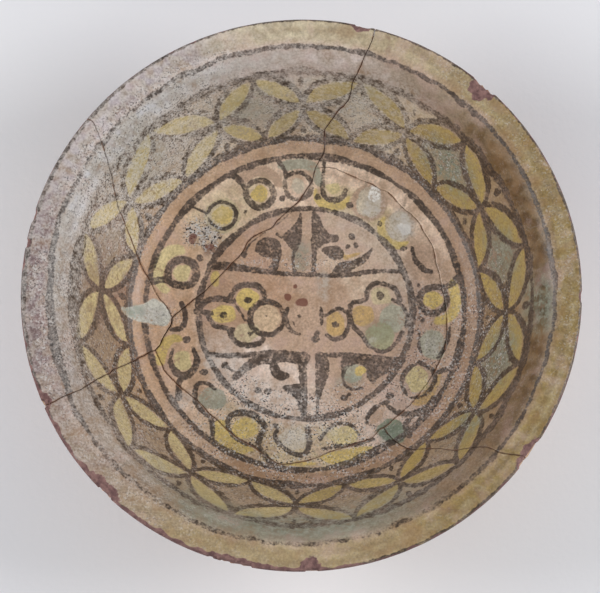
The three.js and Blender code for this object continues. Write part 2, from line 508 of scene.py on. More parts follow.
class Paint:
    """What is painted at a sherd's points.

    dark, fill and wash are distances to painted shapes, below 0 inside them. soft holds fields from 0 up.
    wander and uneven are noise that makes edges stray.
    """

    def __init__(self, x, y):
        self.x, self.y = x, y
        self.r = np.hypot(x, y)
        self.angle = np.degrees(np.arctan2(y, x))
        self.dark = np.full_like(x, FAR)
        self.fill = np.full_like(x, FAR)
        self.wash = np.full_like(x, FAR)
        self.fill_colour = np.tile(np.array(YELLOW, float), (len(x), 1))
        self.ground = np.tile(np.array(BUFF, float), (len(x), 1))
        self.soft = {name: np.zeros_like(x) for name in ("green", "haze_and_sheen", "red", "grain", "brown", "faded")}
        self.wander = 0.5 * ripple(x, y, 9, 51) + 0.3 * ripple(x, y, 3.5, 52)
        self.uneven = ripple(x, y, 4.5, 54)

    def near(self, points, reach=REACH):
        """The points of the sherd that lie in the box round some others."""
        low, high = np.min(points, 0) - reach, np.max(points, 0) + reach
        across = (self.x > low[0]) & (self.x < high[0])
        return np.nonzero(across & (self.y > low[1]) & (self.y < high[1]))[0]

    def put(self, layer, at, distance, colour=None, cut=False):
        """Adds a shape to a layer, over what is there already, or cuts it out of the layer."""
        held = getattr(self, layer)
        if cut:
            held[at] = np.maximum(held[at], -distance)
            return
        if colour is not None:
            self.fill_colour[at[distance < np.clip(held[at], 0.4, 2)]] = colour
        held[at] = np.minimum(held[at], distance)

    def from_segments(self, at, line, half=None):
        """Distance to a line of segments, less its half width where it has one."""
        px, py = self.x[at], self.y[at]
        nearest = np.full(len(at), FAR)
        half = np.zeros(len(line)) if half is None else half
        for a, b, half_a, half_b in zip(line, line[1:], half, half[1:]):
            bx, by = b - a
            t = np.clip(((px - a[0]) * bx + (py - a[1]) * by) / max(bx * bx + by * by, 1e-9), 0, 1)
            away = np.hypot(px - a[0] - t * bx, py - a[1] - t * by) - half_a - (half_b - half_a) * t
            nearest = np.minimum(nearest, away)
        return nearest

    def stroke(self, points, widths, layer="dark", **how):
        """A brush stroke through the points. Its widths are spread evenly along it."""
        line = smooth_curve(points, 5)
        widths = np.atleast_1d(widths)
        half = 0.5 * np.interp(np.linspace(0, 1, len(line)), np.linspace(0, 1, len(widths)), widths)
        at = self.near(line, REACH + half.max())
        self.put(layer, at, self.from_segments(at, line, half), **how)

    def blob(self, points, layer="dark", **how):
        """A shape with a smooth outline through the points."""
        loop = smooth_loop(points)
        at = self.near(loop)
        px, py = self.x[at], self.y[at]
        within = np.zeros(len(at), bool)
        for a, b in zip(loop, np.roll(loop, -1, axis=0)):
            crossing = a[0] + (b[0] - a[0]) * (py - a[1]) / ((b[1] - a[1]) or 1)
            within ^= ((a[1] > py) != (b[1] > py)) & (px < crossing)
        away = self.from_segments(at, np.vstack([loop, loop[:1]]))
        self.put(layer, at, np.where(within, -away, away), **how)

    def disc(self, centre, size, colour=None, layer="fill", cut=False):
        """A round or, with two sizes, an oval patch of paint."""
        across, up = np.broadcast_to(size, 2)
        at = self.near([centre], max(across, up) + REACH)
        away = np.hypot((self.x[at] - centre[0]) / across, (self.y[at] - centre[1]) / up) - 1
        self.put(layer, at, away * min(across, up) + 0.7 * self.uneven[at], colour, cut)

    def patch(self, points, colour):
        """A patch of colour with a smooth outline through the points."""
        self.blob(points, layer="fill", colour=colour)

    def dot(self, centre, size):
        """A dark disc."""
        self.disc(centre, size, layer="dark")

    def circle(self, centre, radius, width, stray=0.3):
        """A line of dark paint along a circle, uneven in width and off the circle by about stray."""
        away = np.abs(np.hypot(self.x - centre[0], self.y - centre[1]) - radius + stray * self.wander)
        away -= width / 2 * (1 + 0.35 * ripple(self.x, self.y, 16, 53))
        self.put("dark", np.arange(len(self.x)), away)

    def spot(self, name, centre, size, amount):
        """A soft-edged spot in one of the soft fields."""
        across, up = np.broadcast_to(size, 2)
        away = np.hypot((self.x - centre[0]) / across, (self.y - centre[1]) / up) + 0.35 * self.wander
        self.soft[name] = np.maximum(self.soft[name], amount * step_between(1.1, 0.45, away))

    def sector(self, angle, half_angle, low, high):
        """1 inside a stretch of ring, fading to 0 outside it."""
        turned = turned_from(self.angle, angle) + 4 * self.wander
        across = step_between(low - SOFT_EDGE, low + SOFT_EDGE, self.r + self.wander)
        across = across * step_between(high + SOFT_EDGE, high - SOFT_EDGE, self.r + self.wander)
        return across * step_between(half_angle * 1.3 + 4, half_angle * 0.7 - 4, turned)

    def tone(self, colour, strength, *stretch):
        """Shifts the ground towards a colour, in blotches unless it is all the way round."""
        amount = strength * self.sector(*stretch)[:, None]
        if stretch[1] < 360:
            amount = amount * (0.6 + 0.5 * step_between(-0.5, 0.5, self.uneven + self.wander))[:, None]
        self.ground += (np.array(colour, float) - self.ground) * amount

    def soften(self, name, amount, *stretch):
        """Adds a stretch of ring to one of the soft fields."""
        self.soft[name] = np.maximum(self.soft[name], amount * self.sector(*stretch))


# Radii of the painted rings.
LIP_LINE = 117.4
LEAVES_OUT = 108.0
LEAVES_IN = 86.0
STRIP_IN = 78.0
MEDALLION = 52.4
MEDALLION_MIDDLE = (0.5, -0.5)

# Where the leaf ring's cells meet, in degrees.
LEAF_NODES = [-3, 28, 59, 90, 115, 149, 176, 207, 237, 268, 298, 327, 357]


def leaf_ring(paint):
    """Cells of overlapping circles: four leaves round a washed diamond in each."""
    half_band = (LEAVES_OUT - LEAVES_IN) / 2
    up = (paint.r - LEAVES_IN - half_band + 0.35 * paint.wander) / half_band
    turn = (paint.angle - LEAF_NODES[0]) % 360 + LEAF_NODES[0] + 0.3 * paint.wander
    for low, high in zip(LEAF_NODES, LEAF_NODES[1:]):
        half_turn = (high - low) / 2
        across = (turn - low - half_turn) / half_turn
        half_length = math.radians(half_turn) * (LEAVES_IN + half_band)
        at = np.nonzero((np.abs(across) < 1.12) & (np.abs(up) < 1.12))[0]
        a, b = across[at], up[at]
        gaps = []
        for middle in ((0, 0), (1, 1), (1, -1), (-1, 1), (-1, -1)):
            da, db = a - middle[0], b - middle[1]
            away = np.hypot(da, db)
            slope = np.hypot(da / half_length, db / half_band) / np.maximum(away, 1e-6)
            gaps.append((away - 1) / slope)
        round_gap, corner_gaps = gaps[0], gaps[1:]
        within = np.maximum(np.abs(a), np.abs(b)) < 1.04
        leaf = np.min([np.maximum(round_gap, gap) for gap in corner_gaps], 0)
        lines = np.min([np.abs(gap) for gap in gaps], 0)
        thick = 1.05 + 0.4 * paint.wander[at]
        paint.put("dark", at, np.where(within, lines - thick, FAR))
        # Painted shade: leaves towards the right of the bowl are darker and more olive, those towards the
        # left lighter.
        facing_right = math.cos(math.radians((low + high) / 2))
        painted_shade = step_between(-0.8, 0.9, facing_right)
        leaf_colour = np.array(LEAF_IN_PAINTED_LIGHT) + (np.array(LEAF_IN_PAINTED_SHADE) - LEAF_IN_PAINTED_LIGHT) * painted_shade
        leaf = leaf + 1.25 + 0.5 * paint.wander[at]
        paint.put("fill", at, np.where(within, leaf, FAR), colour=leaf_colour)
        paint.put("wash", at, np.where(within, 1.0 - np.min(corner_gaps, 0), FAR))
    for node in LEAF_NODES[1:]:
        for radius in (LEAVES_IN + 3.0, LEAVES_OUT - 2.6):
            paint.dot(at_angle(node, radius), (1.3, 1.5))


# Shapes of the scroll band's commas, in mm anticlockwise and outwards from the middle of a comma's disc.
RING = [(9.6, 14.0), (7.4, 10.4), (5.6, 6.4), (6.4, 0.6), (4.2, -5.2), (-1.0, -6.8), (-6.0, -3.6),
        (-6.6, 1.6), (-3.6, 5.8), (1.0, 6.8), (4.8, 5.4)]
J_HOOK = [(9.3, -2.2), (3.0, -3.2), (-3.6, -0.8), (-5.8, 1.7)]
HALF_RING = [(7.0, 12.0), (6.4, 6.0), (5.4, 0.5), (3.8, -4.0), (-0.6, -5.8), (-5.0, -3.6), (-6.2, 0.5)]
OUTER_CRESCENT = [(9.4, 10.0), (5.6, 12.9), (0, 13.3), (-6, 12.8), (-10.6, 9.4), (-12.6, 3.6),
                  (-11.8, -0.6), (-8.7, 0.6), (-7.8, 4.4), (-4.6, 7.6), (0, 8.5), (5, 7.8)]
INNER_CRESCENT = [(-8.8, -2.0), (-4.4, -5.8), (0, -6.6), (4.6, -5.4), (8.6, -1.8), (8.4, -7.0),
                  (4.0, -10.8), (-2.6, -11.4), (-8.2, -7.8)]
FULL_CRESCENT = [(12.5, 5.0), (9.0, 11.4), (2, 14.2), (-6, 13.8), (-11.8, 9.6), (-12.8, 3.6), (-9.6, 1.6),
                 (-7.4, 5.6), (-3, 8.4), (2, 8.8), (6.8, 7.2), (9.6, 3.0)]
HALO = [(-9, 0), (-6.8, 5.8), (0, 8.4), (6.8, 5.8), (9, 0), (6.6, -6.6), (0, -8.8), (-6.6, -6.6)]

# The commas in the upper half: angle, the stroke and its widths, the disc's size and colour, and the
# shape and colour of what lies beside it. A comma with FAINT_WIDTHS is only washed on.
RING_WIDTHS = (3.6, 3.0, 3.4, 3.4, 2.8, 2.4)
FAINT_WIDTHS = (1.6, 2.0, 2.4, 1.8)
SCROLLS = [
    (93, RING, (2.4, 2.0, 2.4, 2.6, 2.2, 1.8), 3.4, GREY_WHITE, OUTER_CRESCENT, PALE_TEAL),
    (110.5, RING, RING_WIDTHS, 3.9, YELLOW, OUTER_CRESCENT, BUFF),
    (130, RING, (1.0, 1.2, 1.8, 2.0, 1.8, 1.4), (4.6, 4.2), YELLOW, HALO, CREAM),
    (162, RING, (3.6, 3.4, 4.2, 4.2, 3.8, 3.2), 4.2, PALE_YELLOW, FULL_CRESCENT, PALE_YELLOW),
    (5, RING, RING_WIDTHS, 4.4, YELLOW, OUTER_CRESCENT, YELLOW),
    (22.5, J_HOOK, (1.4, 2.6, 3.0, 2.0), 2.0, BUFF, HALO, BUFF),
    (42, RING, FAINT_WIDTHS, (5.8, 7.0), GREY_WHITE, INNER_CRESCENT, YELLOW),
    (59.5, RING, FAINT_WIDTHS, (5.8, 7.2), GREY_WHITE, HALO, BUFF),
    (77, HALF_RING, (1.8, 2.0, 2.6, 3.4, 2.2), (3.6, 3.0), PALE_YELLOW, INNER_CRESCENT, YELLOW),
]
SCROLL_RADIUS = 63.3

# Painted highlights, where the glaze shines white on the two grey white discs: where each is and its size
# across and up.
PAINTED_HIGHLIGHTS = (((49.5, 41), (3.4, 2.4)), ((34.5, 59), (2.6, 3.6)))


def scroll(paint, angle, hook, widths, disc_size, disc_colour, patch, patch_colour):
    """One comma of the scroll band. One with RING_WIDTHS has a thick head."""
    out = np.array([math.cos(math.radians(angle)), math.sin(math.radians(angle))])
    on = np.array([-out[1], out[0]])

    def placed(points):
        return [tuple(out * SCROLL_RADIUS + a * on + b * out) for a, b in points]

    paint.patch(placed(patch), patch_colour)
    paint.disc(placed([(0, 0)])[0], disc_size, disc_colour)
    paint.stroke(placed(hook), widths, layer="wash" if widths is FAINT_WIDTHS else "dark")
    if widths is RING_WIDTHS:
        paint.blob(placed([(12.6, 14.6), (8.6, 14.8), (7.4, 11.0), (9.6, 11.2)]))
    paint.dot(placed([(-9.6, -6.2)])[0], 1.4)


def lower_scrolls(paint):
    """The commas in the lower half, which differ too much from each other to share their shapes."""
    stroke, patch, disc, dot = paint.stroke, paint.patch, paint.disc, paint.dot

    # At 202 degrees.
    patch([(-63.2, -10.9), (-69, -12.9), (-72.5, -19.8), (-72.5, -26), (-68.5, -26), (-67, -19.8),
           (-64, -15.3), (-59.2, -13.9)], YELLOW)
    disc((-59.7, -24), (4.5, 5.2), PALE_YELLOW)
    stroke([(-54.8, -17.3), (-52.6, -23.7), (-54.5, -29), (-59.2, -31.7), (-63.6, -28.6), (-65.6, -23.7),
            (-64.5, -18.8)],
           (1.6, 3.4, 4.0, 3.6, 2.4, 1.6))
    stroke([(-60.2, -31.5), (-61.4, -36.4), (-61.2, -42.3)], (3.0, 2.8, 3.6))
    dot((-58, -13.4), 1.7)
    dot((-49.2, -29.4), (1.9, 1.2))

    # At 222 degrees.
    disc((-44.8, -42.6), (6.6, 5.6), PALE_TEAL)
    stroke([(-43.5, -37.9), (-47.5, -35.4), (-51.9, -35.6), (-53.4, -39.9), (-52.8, -44.8), (-49.4, -49),
            (-45.7, -52.1), (-44.7, -57), (-44.5, -62)], (1.8, 2.2, 2.8, 2.6, 2.6, 2.2))

    # At 244 degrees.
    patch([(-43.5, -54), (-44, -61), (-39.6, -67), (-31.8, -70), (-24, -68), (-30.8, -64), (-35.5, -60),
           (-37.6, -54)], YELLOW)
    disc((-28.9, -57.2), (6.2, 5.4), YELLOW)
    stroke([(-37.2, -57), (-36.9, -52.6), (-32.8, -50), (-26.9, -50.1), (-21.5, -53.6), (-19.4, -57.2),
            (-21.5, -61.4), (-22.2, -65.8), (-18.5, -71.7), (-14.1, -76.6)], (2.2, 3.2, 3.4, 3.0, 3.0, 3.2))
    stroke([(-37.2, -57), (-34.7, -61), (-29.8, -64.5), (-23.9, -66.4)], (2.2, 2.0, 1.6))
    dot((-13.6, -56), (1.9, 1.3))

    # At 267 degrees.
    disc((-5, -63), (7.0, 5.4), GREY_WHITE)
    stroke([(-13, -57.6), (-14.2, -61.9), (-9.2, -67.8), (-1.4, -70.7), (2.4, -66), (1.6, -58)],
           (1.4, 2.2, 2.2, 2.6, 3.2))
    patch([(-13, -75), (-6, -74.2), (2.5, -73.6), (6, -75.2), (-3, -76)], YELLOW)

    # At 286 degrees.
    disc((18.7, -61), (7.4, 4.8), PALE_YELLOW)
    stroke([(7.6, -63), (11.5, -57.8), (17, -55.2), (23, -56.4), (27, -61.5)], (1.6, 2.0, 2.0, 1.6))
    stroke([(9, -67.6), (17, -66.2), (26, -65.4), (33.4, -63)], (1.8, 2.0, 1.4))
    patch([(7.5, -71.7), (17.3, -68.4), (33, -66.4), (27.1, -71.7), (17.3, -76)], YELLOW)
    stroke([(16.5, -77.4), (26.1, -72.6), (34.9, -68.3), (41.5, -64.4)], (2.0, 3.6, 3.4, 2.4))

    # At 305 degrees.
    patch([(39.8, -45), (35, -47.6), (31.4, -52), (31.6, -55.5), (37, -54)], BUFF)
    stroke([(40.6, -44.6), (35.2, -47.2), (31, -51.4), (30.4, -55.4)], (1.8, 2.6, 2.2, 1.4))
    disc((42.8, -59.6), (7.0, 6.2), TEAL)
    stroke([(40.3, -46.6), (44.7, -49.8), (52.5, -50.9), (59.4, -48.2), (63, -43.6)], (1.6, 3.0, 3.8, 3.4))
    stroke([(53, -51.5), (49, -56), (50.5, -61)], (2.4, 3.0, 3.6))
    dot((41.3, -41.8), 1.9)

    # At 326 degrees.
    patch([(52.5, -46.4), (60.4, -45.4), (65.5, -36.4), (66, -31), (61.5, -36.5), (55, -42.5)], ORANGE)
    disc((55, -34.2), (5.2, 6.6), PALE_YELLOW)
    stroke([(56, -25.4), (50, -29), (47.4, -35.6), (49.6, -41.6)], (1.8, 2.6, 1.6))
    stroke([(56, -25.4), (62.5, -29.4), (63.2, -35.4), (58, -41.8), (51.6, -43)], (2.2, 2.4, 2.0, 1.2))
    stroke([(63.3, -31), (68.2, -29.4), (74, -28)], (2.2, 2.6, 3.0))

    # At 347 degrees.
    disc((62.6, -16.8), (6.6, 7.4), PALE_TEAL)
    stroke([(70.8, -8.6), (70.2, -13.4), (68.2, -18.8), (65, -23)], (1.6, 2.2, 2.0))
    stroke([(56.4, -11), (56, -17.5), (57.5, -22.4)], (1.0, 1.6, 1.2))


def medallion(paint):
    """Fields above, in the middle and below, split by a buff strip."""
    stroke, blob, patch, disc, dot = paint.stroke, paint.blob, paint.patch, paint.disc, paint.dot
    paint.circle(MEDALLION_MIDDLE, MEDALLION, 2.9)

    # The line above the middle band, and the leaves that stand on it.
    stroke([(-46, 23.5), (-37, 23), (-30.5, 22), (-24.5, 21), (-17.5, 20)], (4.0, 4.4, 3.2, 2.6))
    stroke([(-17.5, 20), (-9, 19), (2.5, 18.5), (16.5, 18), (23.5, 18.5), (34, 20), (47, 20)],
           (2.6, 2.0, 2.2, 2.5, 2.0))
    blob([(-2, 50), (-4.5, 44.5), (-10.5, 38.5), (-9, 34.5), (-6, 31), (-4.5, 29.5), (-2, 34), (-1, 41),
          (-1.2, 47.5)])
    blob([(4, 50), (7.2, 48), (9.5, 42.5), (12.5, 39), (16.5, 38), (16, 35), (9.5, 33.8), (6.5, 31),
          (4.2, 34), (3.6, 41)])
    stroke([(4.6, 36), (4.8, 28), (4.5, 20)], (3.0, 2.4, 2.4))
    stroke([(-5.2, 30), (-5.6, 25), (-4.8, 20)], (1.8, 1.2, 2.2))
    blob([(-24.5, 31), (-23, 35.5), (-18.5, 37.5), (-14, 36.5), (-11.5, 33.5), (-11.3, 29), (-12.3, 25),
          (-14, 20.5), (-18.5, 20.5), (-15.8, 25), (-16.5, 27.2), (-19.5, 27.2), (-23, 29.5)])
    blob([(8.5, 30.5), (11.5, 32.5), (16.5, 33), (19, 30.5), (19.5, 27.5), (16.5, 26), (13, 26.5)])
    blob([(13.5, 19), (17, 24.5), (23.5, 25.5), (29, 28.5), (33.5, 31.5), (31, 25.5), (25, 21.5),
          (16.5, 18)])
    patch([(18.5, 30.5), (20.5, 28.6), (28.5, 29.5), (23.5, 27), (19.5, 26)], ORANGE)
    stroke([(-13.5, 39), (-11, 37.2)], (1.6, 1.2))
    for centre, size in (((-29.5, 29), 1.6), ((21.5, 33), 1.3), ((25.5, 33), 1.5), ((23.5, 38), 1.4)):
        dot(centre, size)
    stroke([(-29.5, 29), (-27, 34), (-21, 39), (-12, 45), (-6, 50.5)], (1.2, 0.6, 0.5, 0.6))

    # The left cluster of ringed discs.
    stroke([(-36.5, 7.5), (-34, 11.5), (-30.5, 13.6), (-24.5, 13.5), (-21, 11), (-19.5, 8)],
           (2.6, 3.2, 2.6))
    stroke([(-53, 0.5), (-49.5, 5), (-43.5, 7), (-35, 5.5)], (3.4, 3.2, 2.8))
    stroke([(-47, -2.5), (-44, -6.5), (-40, -7.6), (-35, -8.5)], (2.6, 2.4, 2.2))
    stroke([(-37, -8.5), (-34, -14.5), (-27, -16.5), (-21, -14.5), (-19.5, -10.5)], (2.6, 2.8, 2.2))
    stroke([(-34.5, 4.5), (-30.5, -1.5), (-29, -4)], (1.2, 1.6))
    paint.circle((-18.5, -3), 8.3, 2.4)
    disc((-18.5, -3), (6.6, 6.8), PINK_BUFF)
    disc((-28, 6.5), 5.4)
    disc((-39.5, -1), (6.0, 4.3))
    disc((-28.5, -10.5), (6.6, 4.4), CREAM)
    stroke([(-49, 0), (-45.5, -0.5)], (3.0, 2.2))
    disc((-44, 17), (2.4, 3.2))
    for centre, size in (((-28, 6), 1.6), ((-39.5, -1), 1.9), ((-27, -10.5), 1.5)):
        dot(centre, size)
    dot((-19, -2), 0.9)

    # The middle: a faint ringed disc and specks.
    stroke([(-8.5, 1.5), (-9.2, -3.5), (-6.5, -9.5), (-2.5, -11)], (2.0, 2.4, 1.6))
    disc((-0.5, -3.5), (5.8, 6.2), BUFF)
    dot((-2.5, -2), 1.3)
    stroke([(-5.5, -5), (-4.5, -7.2)], 0.9)
    dot((6, -13), (2.2, 2.6))
    stroke([(8, 2), (8.5, -2), (8.2, -6)], (1.4, 2.2, 1.6))

    # The right cluster.
    stroke([(10.5, -2), (16.5, 1.6), (20.8, -1), (22, -5.5), (19.8, -11.5), (15, -14), (11, -11.5)],
           (1.8, 2.0, 2.4, 2.0))
    stroke([(22.5, 3), (22.2, -2), (24, -7.5), (28, -11.5), (32, -17.5), (39, -20), (44.5, -16),
            (48, -10.5)],
           (2.6, 2.6, 2.2, 2.0, 2.2))
    stroke([(24, 4.5), (30, 6.2), (31, 10.5), (34.5, 14), (39.5, 13.6), (44.5, 11), (47, 5.5)],
           (2.4, 2.6, 2.2, 2.6))
    stroke([(43, 6), (47.5, 3), (50.3, -2), (50, -7.5)], (1.4, 2.0, 2.0))
    disc((15.2, -6.5), (5.0, 5.8), ORANGE)
    disc((29, -2), 5.3, ORANGE)
    disc((37.5, 7.5), (5.4, 4.4), CREAM)
    disc((43.5, -3.5), (6.6, 7.2), PALE_TEAL)
    disc((37, -12.5), (7.2, 6.6), OLIVE)
    for centre in ((15.2, -6.5), (37, 7.5)):
        dot(centre, 1.8)

    # The line below the middle band, and the fields that hang from it.
    stroke([(-46, -21), (-36.5, -21.5), (-22.5, -20.8), (-11.5, -20.5), (1, -21.5)], (2.4, 2.8, 3.4, 2.6))
    stroke([(6.5, -21.5), (16.5, -21.5), (27, -22), (37.5, -23.5), (47.5, -24.5)], (2.6, 2.6, 3.2))
    blob([(-23, -21), (1.2, -20.5), (1.2, -26), (-3, -26.5), (-9, -24.8), (-16, -26), (-22, -25)])
    stroke([(-0.8, -25), (-0.6, -33), (-0.4, -44), (-0.2, -53)], (4.4, 4.2, 3.4, 2.6))
    blob([(-11, -37.3), (-4.5, -35.8), (-2, -37), (-1, -50), (-3, -47.5), (-4.8, -42.5)])
    stroke([(-16, -22), (-23, -24), (-28.5, -27.4), (-33.8, -32.3)], (3.6, 5.0, 4.4, 3.2))
    stroke([(-38.8, -26.4), (-35, -28.8)], (2.0, 1.4))
    blob([(-17, -25), (-16, -31), (-12, -34), (-7.5, -32.5), (-7.8, -30.5), (-11.5, -29), (-13, -26)])
    disc((-7.8, -27.6), (3.8, 1.7), layer="dark", cut=True)
    blob([(5.8, -21), (11, -21.5), (12.2, -30), (10, -36), (7.5, -44), (6.5, -53), (5.8, -53), (5.4, -37)])
    blob([(19.5, -21.5), (33, -22), (47, -24), (46, -28), (40, -31), (36, -33), (33.5, -36), (30.6, -33),
          (30, -28.5), (25.5, -26), (21.5, -28), (19.3, -32), (17.8, -28)])
    disc((23.4, -30.6), (5.2, 4.6), PALE_TEAL)
    disc((27.4, -29.8), (2.2, 2.0), YELLOW)
    stroke([(18.6, -31), (19.6, -36), (23, -38.5), (28, -38)], (1.6, 1.2, 1.6))
    for centre, size in (((-22.5, -39), (1.8, 1.5)), ((-18, -39.5), (1.6, 1.7)), ((19.5, -43), 1.5),
                         ((22, -41), 0.9), ((-39, -26), 1.6)):
        dot(centre, size)


def white_drip(paint):
    """A run of pale glaze that hides the rings at the left, and the hook beside it."""
    run = [(-89, 0.6), (-83.5, 2.4), (-78.7, 4.2), (-74, 6.6), (-70, 5), (-66.4, 1.2), (-65.8, -3.4),
           (-68.4, -7), (-74, -6), (-81.5, -5), (-86.2, -3.2)]
    paint.blob(run, cut=True)
    paint.patch(run, DRIP)
    paint.stroke([(-60.5, 4.5), (-58.6, -0.5), (-59, -5.5), (-61.5, -8.2), (-65.2, -8.6)],
                 (2.2, 2.8, 3.0, 2.0))
    paint.spot("green", (-83, 0), (6, 4), 1.0)


# Runs of green glaze, pale haze and painted sheen, grainy glaze, worn-off ink and brown stains that follow
# the
# rings: the middle's angle, half of the length in degrees, the inner and outer radius, and how strong it
# is.
RING_FIELDS = {
    "green": [
        (43, 7, 91, 103, 1.0), (13, 8, 92, 104, 0.75), (-16, 8, 90, 104, 0.8), (-37, 5, 92, 103, 0.8),
        (-90, 20, 103, 114, 0.75), (-72, 12, 98, 112, 0.5), (-112, 10, 103, 116, 0.5),
        (138, 7, 96, 114, 0.55), (-3, 6, 104, 117, 0.8), (105, 9, 93, 104, 0.45), (74, 6, 95, 108, 0.4),
        (128, 30, 111, 116, 0.45), (160, 20, 112, 117, 0.3), (-125, 12, 100, 110, 0.3),
    ],
    "haze_and_sheen": [
        (150, 45, 104, 130, 0.55), (140, 25, 86, 112, 0.6), (195, 30, 104, 130, 0.35),
        (105, 30, 108, 120, 0.35), (-145, 20, 100, 126, 0.25), (78, 22, 86, 112, 0.4),
        (-75, 30, 100, 112, 0.2), (-122, 42, 38, 57, 0.45), (40, 34, 44, 56, 0.3),
    ],
    "grain": [
        (-95, 42, 40, 84, 1.0), (-95, 30, 84, 100, 0.6), (138, 30, 84, 124, 0.7), (185, 22, 104, 128, 0.6),
        (85, 22, 84, 104, 0.55), (-20, 30, 50, 100, 0.7), (-150, 25, 84, 108, 0.55),
        (20, 40, 118, 130, 0.22), (60, 25, 84, 104, 0.5), (222, 26, 106, 128, 0.3), (-80, 14, 54, 78, 1.2),
    ],
    "faded": [
        (134, 34, 91, 112, 0.75), (80, 26, 88, 112, 0.6), (185, 20, 96, 112, 0.3), (-95, 24, 100, 112, 0.5),
        (-145, 20, 98, 112, 0.35), (140, 20, 114, 122, 0.4), (-95, 46, 114, 122, 0.95),
        (96, 22, 60, 68, 0.3),
    ],
    "brown": [
        (176, 12, 86, 106, 0.8), (-142, 24, 76, 82, 0.5), (25, 45, 84, 110, 0.5), (-150, 8, 88, 108, 0.6),
        (-165, 9, 84, 108, 0.5), (-50, 14, 104, 117, 0.4), (-130, 12, 88, 104, 0.5),
        (10, 60, 86, 108, 0.35), (-20, 30, 104, 116, 0.35),
    ],
}

# The same as spots: where it is, its size across and up, and how strong it is.
SPOTS = {
    "green": [
        (-1, 29, 6, 9, 0.8), (-38, -46, 7, 5, 0.5), (37, -10, 9, 8, 0.4), (42, -60, 8, 6, 0.8),
        (9, 14, 4, 8, 0.35), (22, -35, 9, 5, 0.55),
    ],
    # Spots of pale haze and painted sheen, the strongest on the two grey white discs.
    "haze_and_sheen": [
        (33, -14, 4, 5, 0.4), (47, 43, 11, 8, 0.9), (34, 52, 7, 7, 0.85), (-73, -1, 9, 5, 0.7),
        (-51, 40, 9, 8, 1.0), (-5, -62, 10, 6, 0.7), (-45, -25, 8, 5, 0.75), (-4, -56, 18, 3, 0.6),
        (10, 12, 4.5, 9, 0.4), (-60, -44, 7, 6, 0.6), (12, -60, 8, 4, 0.5), (50, -4, 4, 14, 0.35),
        (-44, 50, 8, 5, 0.35), (62, -17, 6, 6, 0.5),
    ],
    "grain": [
        (-50, 40, 12, 10, 1.7), (-70, -2, 11, 7, 0.8), (0, 24, 34, 6, 0.6), (60, -24, 9, 14, 0.8),
    ],
    "red": [
        (-1.5, 5, 4.5, 3.4, 1.0), (-8, 7.5, 2.4, 2.4, 0.9), (-4.5, 12.5, 1.6, 1.8, 0.9),
        (-55, 37, 3, 4, 0.7), (-47, 33, 3, 2, 0.6),
    ],
    "brown": [
        (-48, 36, 10, 9, 0.9), (71, -93, 4, 3, 1.0), (68, -102, 6, 3, 0.8), (80, -94, 4, 3, 0.7),
        (-67, -18, 6, 12, 0.35), (-30, -66, 12, 5, 0.45), (60, -42, 9, 7, 0.6), (41.5, 117, 2.6, 7.5, 0.8),
        (-43, 13, 8, 8, 0.45),
    ],
}


def soft_washes(paint):
    """Everything soft-edged that lies in or on the glaze."""
    for name, stretches in RING_FIELDS.items():
        for *stretch, amount in stretches:
            paint.soften(name, amount, *stretch)
    for name, places in SPOTS.items():
        for x, y, across, up, amount in places:
            paint.spot(name, (x, y), (across, up), amount)


